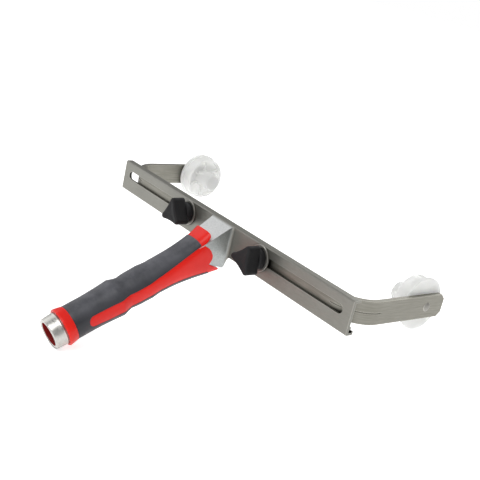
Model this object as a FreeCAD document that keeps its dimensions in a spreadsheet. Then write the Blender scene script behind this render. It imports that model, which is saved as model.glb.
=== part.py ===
import FreeCAD, Part

import math
import os

import Sketcher
from FreeCAD import Placement, Rotation, Vector

# Adjustable-width two-arm paint roller frame.
#
# The origin is the centre of the pole socket's mouth, at the butt of the handle. +X runs along the
# slotted bar, +Y points forward to the roller and +Z is up. The handle rises from the origin towards
# the bar. Most sub-parts are drawn in one of four local frames:
#   bar frame     origin at the centre of the bar's front face, axes as the whole part
#   handle frame  origin at the socket's mouth, Z along the handle, Y towards the handle's underside
#   stud frame    origin on a clamp stud's axis, Z pointing back at the user
#   hub frame     origin on a hub's axis, Z pointing in towards the roller

SIZES = {
    # Slotted bar, an open channel whose back faces the roller.
    "bar_length": 305.0,
    "bar_height": 26.7,
    "bar_depth": 7.0,
    "bar_wall": 2.4,
    "lip_thickness": 1.8,
    "lip_round": 0.9,
    "hook_length": 1.3,
    "hook_rise": 1.1,
    "ledge_depth": 1.5,
    "ledge_height": 1.8,
    "ledge_gap": 0.15,
    "bar_round": 1.2,
    "slot_width": 7.5,
    "slot_inner": 42.0,
    "slot_outer": 140.4,
    "stud_rise": 2.3,
    # Where the bar's centre sits above and ahead of the socket's mouth.
    "bar_ahead": 141.6,
    "bar_above": 73.0,
    # Neck that joins the bar to the handle, and the tang that runs on inside the handle.
    "neck_width": 26.4,
    "neck_fillet": 2.6,
    "neck_slope": 34.5,
    "neck_taper": 5.0,
    "neck_reach": 27.5,
    "neck_drop": 22.6,
    "neck_nose": 1.4,
    "neck_heel_back": 17.0,
    "neck_heel_drop": 18.8,
    "neck_back": 131.0,
    "tang_start": 60.0,
    "tang_end": 134.0,
    "tang_height": 10.0,
    "tang_width": 8.0,
    "tang_hole": 5.2,
    # Handle, measured along its own axis from the mouth.
    "handle_tilt": 26.0,
    "socket_radius": 9.6,
    "socket_depth": 46.0,
    "mouth_radius": 10.2,
    "mouth_step": 1.5,
    "ferrule_bore": 11.6,
    "ferrule_radius": 13.1,
    "ferrule_nose": 12.4,
    "ferrule_round": 0.8,
    "ferrule_length": 10.2,
    "collar_radius": 15.1,
    "collar_back_radius": 13.9,
    "grip_start": 17.8,
    "grip_radius": 13.7,
    "grip_end": 134.5,
    "sleeve_thickness": 2.3,
    "panel_recess": 0.25,
    "ridge_one": 58.0,
    "ridge_one_rise": 1.5,
    "ridge_two": 84.0,
    "ridge_two_rise": 0.5,
    "flare_start": 95.0,
    "hood_front": 145.2,
    "hood_rise": 4.6,
    "beak_drop": 6.6,
    "flare_pinch": 1.3,
    # Arms, bent from flat strip.
    "arm_height": 18.2,
    "arm_thickness": 3.8,
    "arm_gap": 0.08,
    "arm_bend": 25.0,
    "arm_reach": 98.0,
    "arm_tip": 9.0,
    "arm_tip_round": 6.0,
    "arm_chamfer": 3.8,
    "arm_base": 103.0,
    "left_stud": 47.0,
    "right_stud": 51.3,
    "bead_depth": 0.4,
    "bead_width": 0.9,
    "bead_end": 30.0,
    "square_hole": 6.1,
    "axle_reach": 79.5,
    "axle_hole": 6.1,
    # Clamp stud, washer and knob.
    "stud_radius": 2.95,
    "stud_length": 20.0,
    "stud_square": 6.0,
    "stud_square_length": 3.6,
    "stud_head_radius": 6.5,
    "stud_head_height": 3.2,
    "stud_head_rim": 0.8,
    "washer_radius": 10.6,
    "washer_bore": 3.3,
    "washer_thickness": 1.6,
    "washer_gap": 0.05,
    "knob_gap": 0.05,
    "knob_skirt_radius": 8.7,
    "knob_skirt": 5.4,
    "knob_skirt_round": 0.8,
    "knob_depth": 17.6,
    "knob_reach": 12.8,
    "knob_lobe_radius": 2.6,
    "knob_hollow": 50.0,
    "knob_crown": 1.0,
    "left_knob_angle": 3.0,
    "right_knob_angle": -22.5,
    "insert_radius": 4.45,
    "insert_bore": 3.02,
    "insert_start": 0.4,
    "insert_length": 12.0,
    # Hub that carries the roller's core, and the shoulder rivet it turns on.
    "hub_gap": 0.05,
    "flange_radius": 21.0,
    "flange_thickness": 2.8,
    "flange_round": 0.7,
    "drum_radius": 19.5,
    "drum_end": 11.0,
    "drum_lead": 1.6,
    "drum_wall": 2.4,
    "web_end": 7.5,
    "boss_radius": 7.9,
    "boss_end": 25.0,
    "boss_round": 1.5,
    "cap_radius": 6.2,
    "cap_thickness": 1.6,
    "cap_recess": 5.0,
    "rib_thickness": 1.8,
    "rib_count": 6.0,
    "hub_bore": 3.06,
    "axle_radius": 3.0,
    "axle_head_radius": 3.6,
    "axle_head_height": 0.9,
    "axle_tail": 2.2,
    "thrust_radius": 7.4,
    "thrust_bore": 3.15,
    "thrust_thickness": 0.9,
    "clip_radius": 5.6,
    "clip_bore": 3.02,
    "clip_thickness": 0.7,
    "clip_slot": 1.0,
}

SECTION_POINTS = 28
STATION_STEP = 6.0
FORM_OVERRUN = 6.0
RIGHT = 1
LEFT = -1

doc = FreeCAD.newDocument("roller_frame")
sheet = doc.addObject("Spreadsheet::Sheet", "Sizes")


# Spreadsheet and sketch helpers.


def fill_sheet():
    """Writes each size as a plain number in a cell that has the size's name as its alias."""
    for row, (alias, number) in enumerate(SIZES.items(), start=1):
        sheet.set(f"A{row}", alias)
        sheet.set(f"B{row}", str(number))
        sheet.setAlias(f"B{row}", alias)
    doc.recompute()


def size(alias):
    return float(sheet.get(alias))


def evaluate(formula):
    """The number that a formula of sheet aliases stands for."""
    return float(sheet.evalExpression(formula))


def new_body(label, placement):
    body = doc.addObject("PartDesign::Body", label)
    body.Label = label
    body.Placement = placement
    return body


def new_sketch(body, name, plane):
    """An empty sketch on one of the body's own origin planes, such as XY_Plane."""
    sketch = body.newObject("Sketcher::SketchObject", name)
    support = next(f for f in body.Origin.OriginFeatures if f.Role == plane)
    sketch.AttachmentSupport = [(support, "")]
    sketch.MapMode = "FlatFace"
    return sketch


def bind(sketch, constraint, formula):
    """Adds a dimension to a sketch and ties it to a formula of the sheet."""
    index = sketch.addConstraint(constraint)
    name = f"size{index}"
    sketch.renameConstraint(index, name)
    sketch.setExpression(f"Constraints.{name}", formula)


def pin(sketch, geometry, end, across, up):
    """Fixes one point of a sketch at (across, up), both formulas."""
    for kind, formula, axis in (("DistanceX", across, -2), ("DistanceY", up, -1)):
        number = evaluate(formula)
        if abs(number) < 1e-9:
            sketch.addConstraint(Sketcher.Constraint("PointOnObject", geometry, end, axis))
        else:
            bind(sketch, Sketcher.Constraint(kind, -1, 1, geometry, end, number), formula)


def arc_between(start, finish, radius):
    """The short arc from start to finish. A positive radius turns left, a negative one right."""
    chord = finish - start
    half = chord.Length / 2
    rise = math.sqrt(max(radius * radius - half * half, 0.0))
    normal = Vector(-chord.y, chord.x, 0).normalize()
    centre = (start + finish) / 2 + normal * math.copysign(rise, radius)
    first, last = (start, finish) if radius > 0 else (finish, start)
    low = math.atan2(first.y - centre.y, first.x - centre.x)
    high = math.atan2(last.y - centre.y, last.x - centre.x)
    if high < low:
        high += 2 * math.pi
    circle = Part.Circle(centre, Vector(0, 0, 1), abs(radius))
    return Part.ArcOfCircle(circle, low, high)


def shape_arc(sketch, geometry, corner, start, finish):
    """Ties an arc's radius to its formula. A half circle is tied by its centre instead, level with
    its ends."""
    chord = finish - start
    radius = abs(evaluate(corner[2]))
    if chord.Length < 2 * radius - 1e-6:
        bind(sketch, Sketcher.Constraint("Radius", geometry, radius), f"abs({corner[2]})")
    elif abs(chord.x) < abs(chord.y):
        bind(sketch, Sketcher.Constraint("DistanceX", -1, 1, geometry, 3, start.x), corner[0])
    else:
        bind(sketch, Sketcher.Constraint("DistanceY", -1, 1, geometry, 3, start.y), corner[1])


def outline(sketch, path):
    """Draws a closed outline. A corner is (across, up), or (across, up, radius) where an arc of that
    radius leads on to the next corner. Every number is a formula of the sheet."""
    corners = [Vector(evaluate(c[0]), evaluate(c[1]), 0) for c in path]
    ends = []
    for i, corner in enumerate(path):
        start = corners[i]
        finish = corners[(i + 1) % len(path)]
        if len(corner) == 2:
            geometry = sketch.addGeometry(Part.LineSegment(start, finish))
            ends.append((geometry, 1, 2))
            continue
        radius = evaluate(corner[2])
        geometry = sketch.addGeometry(arc_between(start, finish, radius))
        shape_arc(sketch, geometry, corner, start, finish)
        ends.append((geometry, 1, 2) if radius > 0 else (geometry, 2, 1))
    for i, (geometry, start_end, _) in enumerate(ends):
        before, _, before_end = ends[i - 1]
        sketch.addConstraint(Sketcher.Constraint("Coincident", before, before_end, geometry, start_end))
        pin(sketch, geometry, start_end, path[i][0], path[i][1])


def circle(sketch, across, up, radius):
    centre = Vector(evaluate(across), evaluate(up), 0)
    geometry = sketch.addGeometry(Part.Circle(centre, Vector(0, 0, 1), evaluate(radius)))
    bind(sketch, Sketcher.Constraint("Radius", geometry, evaluate(radius)), radius)
    pin(sketch, geometry, 3, across, up)


def rectangle(sketch, low_across, low_up, high_across, high_up):
    corners = [(low_across, low_up), (high_across, low_up), (high_across, high_up), (low_across, high_up)]
    outline(sketch, corners)


# Feature helpers.


def pad(body, sketch, length, symmetric=False, backward=False):
    feature = body.newObject("PartDesign::Pad", f"{sketch.Name}_pad")
    feature.Profile = sketch
    feature.SideType = "Symmetric" if symmetric else "One side"
    feature.Reversed = backward
    feature.setExpression("Length", length)
    doc.recompute()
    return feature


def pocket(body, sketch, length, symmetric=False, backward=False):
    """Cuts the sketch out of the body, and stops if nothing was cut."""
    before = body.Shape.Volume
    feature = body.newObject("PartDesign::Pocket", f"{sketch.Name}_pocket")
    feature.Profile = sketch
    feature.SideType = "Symmetric" if symmetric else "One side"
    feature.Reversed = backward
    feature.setExpression("Length", length)
    doc.recompute()
    if body.Shape.Volume > before - 1e-3:
        raise RuntimeError(f"{feature.Name} cuts nothing")
    return feature


def revolve(body, sketch):
    """Turns a sketch on the XZ plane once round the body's Z axis."""
    feature = body.newObject("PartDesign::Revolution", f"{sketch.Name}_turn")
    feature.Profile = sketch
    feature.ReferenceAxis = (sketch, ["V_Axis"])
    feature.Angle = 360
    doc.recompute()
    return feature


def mirror(body, features, plane):
    feature = body.newObject("PartDesign::Mirrored", f"{features[0].Name}_mirror")
    feature.Originals = features
    feature.MirrorPlane = (next(f for f in body.Origin.OriginFeatures if f.Role == plane), [""])
    body.Tip = feature
    doc.recompute()
    return feature


def repeat_round(body, feature, count):
    """Repeats a feature evenly round the body's Z axis."""
    pattern = body.newObject("PartDesign::PolarPattern", f"{feature.Name}_pattern")
    pattern.Originals = [feature]
    pattern.Axis = (next(f for f in body.Origin.OriginFeatures if f.Role == "Z_Axis"), [""])
    pattern.Angle = 360
    pattern.setExpression("Occurrences", count)
    body.Tip = pattern
    doc.recompute()
    return pattern


def edges_where(shape, test):
    """Names of the straight edges whose middle and direction pass the test."""
    names = []
    for index, edge in enumerate(shape.Edges, start=1):
        if len(edge.Vertexes) != 2:
            continue
        first, last = edge.Vertexes[0].Point, edge.Vertexes[1].Point
        if test((first + last) / 2, (last - first).normalize()):
            names.append(f"Edge{index}")
    return names


def rim_edges(shape, height):
    """Names of the edges that lie wholly at one height."""
    names = []
    for index, edge in enumerate(shape.Edges, start=1):
        box = edge.BoundBox
        if abs(box.ZMin - height) < 1e-3 and abs(box.ZMax - height) < 1e-3:
            names.append(f"Edge{index}")
    return names


def dress(body, kind, base, test, length):
    """Adds a Fillet or Chamfer to the edges of base that pass the test."""
    feature = body.newObject(f"PartDesign::{kind}", f"{base.Name}_{kind.lower()}")
    feature.Base = (base, edges_where(base.Shape, test))
    feature.setExpression("Radius" if kind == "Fillet" else "Size", length)
    doc.recompute()
    return feature


def boolean(kind, label, base, tool):
    feature = doc.addObject(f"Part::{kind}", label)
    feature.Label = label
    feature.Base = base
    feature.Tool = tool
    doc.recompute()
    return feature


def fuse(label, shapes):
    feature = doc.addObject("Part::MultiFuse", label)
    feature.Label = label
    feature.Shapes = shapes
    doc.recompute()
    return feature


# Local frames.


def bar_frame(above=0.0, ahead=0.0):
    return Placement(Vector(0, size("bar_ahead") + ahead, size("bar_above") + above), Rotation())


def handle_frame():
    return Placement(Vector(), Rotation(Vector(1, 0, 0), size("handle_tilt") - 90))


def stud_frame(across, ahead):
    base = Vector(across, size("bar_ahead") + ahead, size("bar_above") + size("stud_rise"))
    return Placement(base, Rotation(Vector(1, 0, 0), 90))


def hub_frame(name, side, inward):
    """The hub axis of one arm, a distance inward from the outer face of the arm's leg."""
    across = side * (size(f"{name}_stud") + size("arm_base") - inward)
    above = size("bar_above") + size("stud_rise")
    base = Vector(across, size("bar_ahead") + size("axle_reach"), above)
    return Placement(base, Rotation(Vector(0, 1, 0), -90 * side))


def on_handle(along, up):
    """A point of the handle's middle plane, as formulas in the bar frame: along the handle from the
    mouth, and up from its axis."""
    across = f"-Sizes.bar_ahead + ({along}) * cos(Sizes.handle_tilt) - ({up}) * sin(Sizes.handle_tilt)"
    height = f"-Sizes.bar_above + ({along}) * sin(Sizes.handle_tilt) + ({up}) * cos(Sizes.handle_tilt)"
    return across, height


# Head: slotted bar, neck and tang in one casting.


def draw_bar_section(sketch):
    top = "Sizes.bar_height / 2"
    low = "-Sizes.bar_height / 2"
    depth = "Sizes.bar_depth"
    ledge = "Sizes.stud_rise - Sizes.arm_height / 2 - Sizes.ledge_gap"
    outline(sketch, [
        ("0", f"{low} + Sizes.bar_round"),
        ("0", f"{top} - Sizes.bar_round", "-Sizes.bar_round"),
        ("Sizes.bar_round", top),
        (f"{depth} - Sizes.lip_round", top, "-Sizes.lip_round"),
        (depth, f"{top} - Sizes.lip_round"),
        (depth, f"{top} - Sizes.lip_thickness"),
        ("Sizes.bar_wall", f"{top} - Sizes.lip_thickness"),
        ("Sizes.bar_wall", ledge),
        ("Sizes.bar_wall + Sizes.ledge_depth", ledge),
        ("Sizes.bar_wall + Sizes.ledge_depth", f"{ledge} - Sizes.ledge_height"),
        ("Sizes.bar_wall", f"{ledge} - Sizes.ledge_height"),
        ("Sizes.bar_wall", f"{low} + Sizes.lip_thickness"),
        (f"{depth} - Sizes.hook_length", f"{low} + Sizes.lip_thickness"),
        (f"{depth} - Sizes.hook_length", f"{low} + Sizes.lip_thickness + Sizes.hook_rise"),
        (depth, f"{low} + Sizes.lip_thickness + Sizes.hook_rise"),
        (depth, f"{low} + Sizes.bar_round", "-Sizes.bar_round"),
        (f"{depth} - Sizes.bar_round", low),
        ("Sizes.bar_round", low, "-Sizes.bar_round"),
    ])


def draw_slot(sketch):
    low = "Sizes.stud_rise - Sizes.slot_width / 2"
    high = "Sizes.stud_rise + Sizes.slot_width / 2"
    outline(sketch, [
        ("Sizes.slot_inner", low),
        ("Sizes.slot_outer", low, "Sizes.slot_width / 2"),
        ("Sizes.slot_outer", high),
        ("Sizes.slot_inner", high, "Sizes.slot_width / 2"),
    ])


def draw_neck_side(sketch):
    """Side view of the neck: a sloping top flush with the bar's top, and a heel below the bar."""
    top = "Sizes.bar_height / 2"
    outline(sketch, [
        ("Sizes.bar_wall", f"-{top}"),
        ("Sizes.bar_wall", top),
        ("0", top),
        ("-Sizes.neck_reach", f"{top} - Sizes.neck_reach * tan(Sizes.neck_slope)"),
        on_handle("Sizes.neck_back", "-Sizes.tang_height / 2 + 1"),
        ("-Sizes.neck_heel_back", "-Sizes.neck_heel_drop"),
        ("-2 * Sizes.neck_nose", "-Sizes.neck_drop"),
        ("-Sizes.neck_nose", "-Sizes.neck_drop + Sizes.neck_nose"),
        ("0", f"-{top}"),
    ])


def draw_neck_plan_waste(sketch):
    """What is cut off one side of the neck in plan: the taper, and the fillet against the bar."""
    edge = "Sizes.neck_width / 2"
    outer = f"{edge} + Sizes.neck_fillet"
    back = "Sizes.neck_reach + Sizes.neck_fillet"
    outline(sketch, [
        (outer, "0", "Sizes.neck_fillet"),
        (edge, "-Sizes.neck_fillet"),
        (f"{edge} - Sizes.neck_reach * tan(Sizes.neck_taper)", f"-({back})"),
        (f"{outer} + 1", f"-({back})"),
        (f"{outer} + 1", "0"),
    ])


def draw_tang_side(sketch):
    half = "Sizes.tang_height / 2"
    outline(sketch, [
        on_handle("Sizes.tang_start", half),
        on_handle("Sizes.tang_start", f"-{half}"),
        on_handle("Sizes.tang_end", f"-{half}"),
        on_handle("Sizes.tang_end", half),
    ])


def build_head():
    body = new_body("head", bar_frame())

    section = new_sketch(body, "bar_section", "YZ_Plane")
    draw_bar_section(section)
    pad(body, section, "Sizes.bar_length", symmetric=True)

    neck = new_sketch(body, "neck_side", "YZ_Plane")
    draw_neck_side(neck)
    pad(body, neck, "Sizes.neck_width + 2 * Sizes.neck_fillet", symmetric=True)

    waste = new_sketch(body, "neck_plan_waste", "XY_Plane")
    draw_neck_plan_waste(waste)
    flank = pocket(body, waste, "4 * Sizes.bar_height", symmetric=True)
    mirror(body, [flank], "YZ_Plane")

    tang = new_sketch(body, "tang_side", "YZ_Plane")
    draw_tang_side(tang)
    pad(body, tang, "Sizes.tang_width", symmetric=True)

    holes = new_sketch(body, "tang_holes", "YZ_Plane")
    for share in ("0.2", "0.5"):
        along = f"Sizes.tang_start + {share} * (Sizes.tang_end - Sizes.tang_start)"
        circle(holes, *on_handle(along, "0"), "Sizes.tang_hole / 2")
    pocket(body, holes, "2 * Sizes.tang_width", symmetric=True)

    slot = new_sketch(body, "slot", "XZ_Plane")
    draw_slot(slot)
    slot_cut = pocket(body, slot, "2 * Sizes.bar_depth")
    mirror(body, [slot_cut], "YZ_Plane")
    return body


# Handle: red core, black sleeve and steel ferrule.


def ridge(along, crest, rise):
    """A raised ring of the grip: a long climb to the crest, then a short fall into a finger hollow."""
    climb, fall, hollow = 26.0, 8.0, 0.4
    if along <= crest:
        return rise * max(0.0, 1 - (crest - along) / climb) ** 1.6
    drop = (along - crest) / fall
    if drop <= 1:
        return rise * (1 - drop) ** 1.3 - hollow * rise * math.sin(math.pi * drop / 2)
    return -hollow * rise * max(0.0, 1 - (drop - 1)) ** 2


def handle_section(along, inset):
    """One cross-section of the handle: round at the butt, squarer and deeper towards the neck."""
    flare = max(0.0, along - size("flare_start")) / (size("hood_front") - size("flare_start"))
    radius = size("grip_radius") - inset
    radius += ridge(along, size("ridge_one"), size("ridge_one_rise"))
    radius += ridge(along, size("ridge_two"), size("ridge_two_rise"))
    half_width = radius - size("flare_pinch") * flare
    rise = radius + size("hood_rise") * flare ** 4.5
    drop = radius + size("beak_drop") * flare ** 1.5
    squareness = 2 + 2.4 * flare ** 2.2
    points = []
    for i in range(SECTION_POINTS):
        turn = 2 * math.pi * i / SECTION_POINTS
        across = math.copysign(abs(math.cos(turn)) ** (2 / squareness), math.cos(turn))
        up = math.copysign(abs(math.sin(turn)) ** (2 / squareness), math.sin(turn))
        height = up * (rise if up > 0 else drop)
        points.append(Vector(half_width * across, -height, along))
    curve = Part.BSplineCurve()
    curve.interpolate(points, PeriodicFlag=True)
    return Part.Wire([curve.toShape()])


def build_handle_form(label, inset, start, finish):
    """The handle's outer form, or the same form inset for what lies under the sleeve."""
    count = round((finish - start) / STATION_STEP)
    stations = [start + (finish - start) * i / count for i in range(count + 1)]
    feature = doc.addObject("Part::Feature", label)
    feature.Shape = Part.makeLoft([handle_section(s, inset) for s in stations], True, False)
    feature.Placement = handle_frame()
    return feature


def extrude_side_view(label, path):
    """A closed outline of (along, up) points in the handle's side view, run right across the handle."""
    body = new_body(label, handle_frame())
    sketch = new_sketch(body, f"{label}_side", "YZ_Plane")
    outline(sketch, [(f"-({up})", along, *radius) for along, up, *radius in path])
    pad(body, sketch, "4 * Sizes.grip_radius", symmetric=True)
    return body


def build_panel_zone():
    """Where the core shows: the long window in each flank, and all of the handle past the sleeve."""
    front = "Sizes.hood_front + 20"
    beyond = "3 * Sizes.grip_radius"
    end = "Sizes.grip_end"
    return extrude_side_view("panel_zone", [
        (front, f"-{beyond}"),
        (front, beyond),
        (end, beyond),
        (end, "13.4", "-1.4"),
        (f"{end} - 1.4", "11.4"),
        (f"{end} - 14", "9.2"),
        (f"{end} - 31", "6.8"),
        (f"{end} - 52", "4.9"),
        ("33", "4.7", "4.7"),
        ("33", "-4.7"),
        ("46", "-6.0"),
        (f"{end} - 40", "-6.1"),
        (f"{end} - 20", "-8.6"),
        (end, "-13.8"),
        (f"{end} + 2", f"-{beyond}"),
    ])


def build_front_waste():
    """What is cut off the front of the core: it leaves a hood over the neck, a rounded tab on each
    flank and a beak below."""
    front = "Sizes.hood_front"
    beyond = "3 * Sizes.grip_radius"
    return extrude_side_view("front_waste", [
        (f"{front} + 30", f"-{beyond}"),
        (f"{front} + 30", beyond),
        (front, beyond),
        (front, "16.5"),
        (f"{front} - 1.2", "14.5"),
        (f"{front} - 8", "10.7"),
        (f"{front} - 5.2", "7.2", "6.6"),
        (f"{front} - 4.6", "-4.2"),
        (f"{front} - 8.4", "-7.4"),
        (f"{front}", "-16.2"),
        (f"{front} - 0.8", f"-{beyond}"),
    ])


def build_core_butt():
    """The butt of the core: the threaded socket's tube inside the ferrule, and the red collar."""
    body = new_body("core_butt", handle_frame())
    sketch = new_sketch(body, "core_butt_profile", "XZ_Plane")
    outline(sketch, [
        ("0", "0"),
        ("Sizes.mouth_radius", "0"),
        ("Sizes.mouth_radius", "Sizes.mouth_step"),
        ("Sizes.ferrule_bore", "Sizes.mouth_step"),
        ("Sizes.ferrule_bore", "Sizes.ferrule_length"),
        ("Sizes.collar_radius - 0.5", "Sizes.ferrule_length"),
        ("Sizes.collar_radius", "Sizes.ferrule_length + 0.6"),
        ("Sizes.collar_back_radius", "Sizes.grip_start"),
        ("0", "Sizes.grip_start"),
    ])
    revolve(body, sketch)
    return body


def build_socket():
    """The space inside the pole socket."""
    space = doc.addObject("Part::Cylinder", "socket_space")
    space.setExpression("Radius", "Sizes.socket_radius")
    space.setExpression("Height", "Sizes.socket_depth")
    space.Placement = handle_frame()
    return space


def build_handle(head):
    start = size("grip_start")
    finish = size("hood_front") + FORM_OVERRUN
    outer = build_handle_form("handle_form", 0.0, start, finish)
    flush = build_handle_form("panel_form", size("panel_recess"), start, finish)
    inner = build_handle_form("core_form", size("sleeve_thickness"), start, finish)
    doc.recompute()

    zone = build_panel_zone()
    panel = boolean("Common", "core_panel", flush, zone)
    blank = fuse("core_blank", [inner, panel, build_core_butt()])
    trimmed = boolean("Cut", "core_trimmed", blank, build_front_waste())
    drilled = boolean("Cut", "core_drilled", trimmed, build_socket())
    core = boolean("Cut", "handle_core", drilled, head)

    windowed = boolean("Cut", "sleeve_blank", outer, zone)
    sleeve = boolean("Cut", "grip_sleeve", windowed, blank)
    return core, sleeve


def build_ferrule():
    """A drawn steel cap over the butt, rolled in at the mouth."""
    body = new_body("ferrule", handle_frame())
    sketch = new_sketch(body, "ferrule_profile", "XZ_Plane")
    bend = "Sizes.ferrule_round"
    outline(sketch, [
        ("Sizes.mouth_radius", f"{bend} / 2", f"{bend} / 2"),
        (f"Sizes.mouth_radius + {bend} / 2", "0"),
        (f"Sizes.ferrule_nose - {bend}", "0", bend),
        ("Sizes.ferrule_nose", bend),
        ("Sizes.ferrule_radius", "Sizes.ferrule_length - 2"),
        ("Sizes.ferrule_radius", "Sizes.ferrule_length"),
        ("Sizes.ferrule_bore", "Sizes.ferrule_length"),
        ("Sizes.ferrule_bore", "Sizes.mouth_step"),
        ("Sizes.mouth_radius", "Sizes.mouth_step"),
    ])
    revolve(body, sketch)
    return body


# Arms.


def draw_arm_plan(sketch, sign, leg, tip):
    """Plan of one arm: a base leg in the bar's channel, a round bend and a leg forward to the hub."""
    near = "Sizes.bar_wall + Sizes.arm_gap"
    inner = "Sizes.arm_bend - Sizes.arm_thickness"
    outline(sketch, [
        (f"{sign}({tip})", near),
        (f"{sign}({leg} - Sizes.arm_bend)", near, f"{sign}Sizes.arm_bend"),
        (f"{sign}({leg})", f"{near} + Sizes.arm_bend"),
        (f"{sign}({leg})", "Sizes.arm_reach"),
        (f"{sign}({leg} - Sizes.arm_thickness)", "Sizes.arm_reach"),
        (f"{sign}({leg} - Sizes.arm_thickness)", f"{near} + Sizes.arm_bend", f"-1 * {sign}({inner})"),
        (f"{sign}({leg} - Sizes.arm_bend)", f"{near} + Sizes.arm_thickness"),
        (f"{sign}({tip})", f"{near} + Sizes.arm_thickness"),
    ])


def draw_bead_plan(sketch, sign, leg):
    """Plan of the shallow bead rolled into the outer face of the bend."""
    near = "Sizes.bar_wall + Sizes.arm_gap"
    inner = "Sizes.arm_bend - Sizes.bead_depth"
    outline(sketch, [
        (f"{sign}({leg} - Sizes.arm_bend)", near, f"{sign}Sizes.arm_bend"),
        (f"{sign}({leg})", f"{near} + Sizes.arm_bend"),
        (f"{sign}({leg})", "Sizes.bead_end"),
        (f"{sign}({leg} - Sizes.bead_depth)", "Sizes.bead_end - 1"),
        (f"{sign}({leg} - Sizes.bead_depth)", f"{near} + Sizes.arm_bend", f"-1 * {sign}({inner})"),
        (f"{sign}({leg} - Sizes.arm_bend)", f"{near} + Sizes.bead_depth"),
    ])


def build_arm(name, side):
    sign = "1 * " if side == RIGHT else "-1 * "
    stud = f"Sizes.{name}_stud"
    leg = f"{stud} + Sizes.arm_base"
    tip = f"{stud} - Sizes.arm_tip"
    body = new_body(f"{name}_arm", bar_frame(above=size("stud_rise")))

    plan = new_sketch(body, f"{name}_arm_plan", "XY_Plane")
    draw_arm_plan(plan, sign, leg, tip)
    pad(body, plan, "Sizes.arm_height", symmetric=True)

    bead = new_sketch(body, f"{name}_bead_plan", "XY_Plane")
    draw_bead_plan(bead, sign, leg)
    pocket(body, bead, "Sizes.bead_width", symmetric=True)

    square = new_sketch(body, f"{name}_square_hole", "XZ_Plane")
    half = "Sizes.square_hole / 2"
    middle = f"{sign}{stud}"
    rectangle(square, f"{middle} - {half}", f"-{half}", f"{middle} + {half}", half)
    pocket(body, square, "2 * Sizes.bar_depth")

    pivot = new_sketch(body, f"{name}_axle_hole", "YZ_Plane")
    circle(pivot, "Sizes.axle_reach", "0", "Sizes.axle_hole / 2")
    last = pocket(body, pivot, f"3 * ({leg})", symmetric=True)

    reach = size("arm_reach")
    end = side * evaluate(tip)
    last = dress(body, "Chamfer", last, lambda middle, way: abs(middle.y - reach) < 1e-6
                 and abs(way.x) > 0.99, "Sizes.arm_chamfer")
    dress(body, "Fillet", last, lambda middle, way: abs(middle.x - end) < 1e-6
          and abs(way.y) > 0.99, "Sizes.arm_tip_round")
    return body


# Clamp: carriage stud, washer, knob and its threaded insert.


def build_stud(name, side):
    """Carriage stud: domed head behind the arm, square neck in the arm, plain shank out to the knob."""
    ahead = size("bar_wall") + size("arm_gap") + size("arm_thickness")
    body = new_body(f"{name}_stud", stud_frame(side * size(f"{name}_stud"), ahead))
    dome = "(Sizes.stud_head_radius ^ 2 + (Sizes.stud_head_height - Sizes.stud_head_rim) ^ 2)"
    dome += " / (2 * (Sizes.stud_head_height - Sizes.stud_head_rim))"

    profile = new_sketch(body, f"{name}_stud_profile", "XZ_Plane")
    outline(profile, [
        ("0", "-Sizes.stud_head_height", dome),
        ("Sizes.stud_head_radius", "-Sizes.stud_head_rim"),
        ("Sizes.stud_head_radius", "0"),
        ("Sizes.stud_radius", "0"),
        ("Sizes.stud_radius", "Sizes.stud_length - 0.8"),
        ("Sizes.stud_radius - 0.8", "Sizes.stud_length"),
        ("0", "Sizes.stud_length"),
    ])
    revolve(body, profile)

    square = new_sketch(body, f"{name}_stud_square", "XY_Plane")
    half = "Sizes.stud_square / 2"
    rectangle(square, f"-{half}", f"-{half}", half, half)
    pad(body, square, "Sizes.stud_square_length")
    return body


def build_clamp_washer(name, side):
    body = new_body(f"{name}_clamp_washer", stud_frame(side * size(f"{name}_stud"), -size("washer_gap")))
    ring = new_sketch(body, f"{name}_washer_ring", "XY_Plane")
    circle(ring, "0", "0", "Sizes.washer_radius")
    circle(ring, "0", "0", "Sizes.washer_bore")
    pad(body, ring, "Sizes.washer_thickness")
    return body


def knob_frame(name, side):
    """The knob's own frame, turned about the stud to where the knob was left."""
    ahead = -size("washer_gap") - size("washer_thickness") - size("knob_gap")
    turn = Placement(Vector(), Rotation(Vector(0, 0, 1), size(f"{name}_knob_angle")))
    return stud_frame(side * size(f"{name}_stud"), ahead).multiply(turn)


def draw_knob_head(sketch):
    """Three round lobes joined by slightly hollow sides that run on smoothly from them."""
    reach = "(Sizes.knob_reach - Sizes.knob_lobe_radius)"
    swing = f"(60deg + asin({reach} * sin(60) / (Sizes.knob_hollow + Sizes.knob_lobe_radius)))"
    path = []
    for lobe in (90, 210, 330):
        for turn, radius in ((f"({lobe}deg - {swing})", "Sizes.knob_lobe_radius"),
                             (f"({lobe}deg + {swing})", "-Sizes.knob_hollow")):
            across = f"{reach} * cos({lobe}) + Sizes.knob_lobe_radius * cos{turn}"
            up = f"{reach} * sin({lobe}) + Sizes.knob_lobe_radius * sin{turn}"
            path.append((across, up, radius))
    outline(sketch, path)


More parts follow.
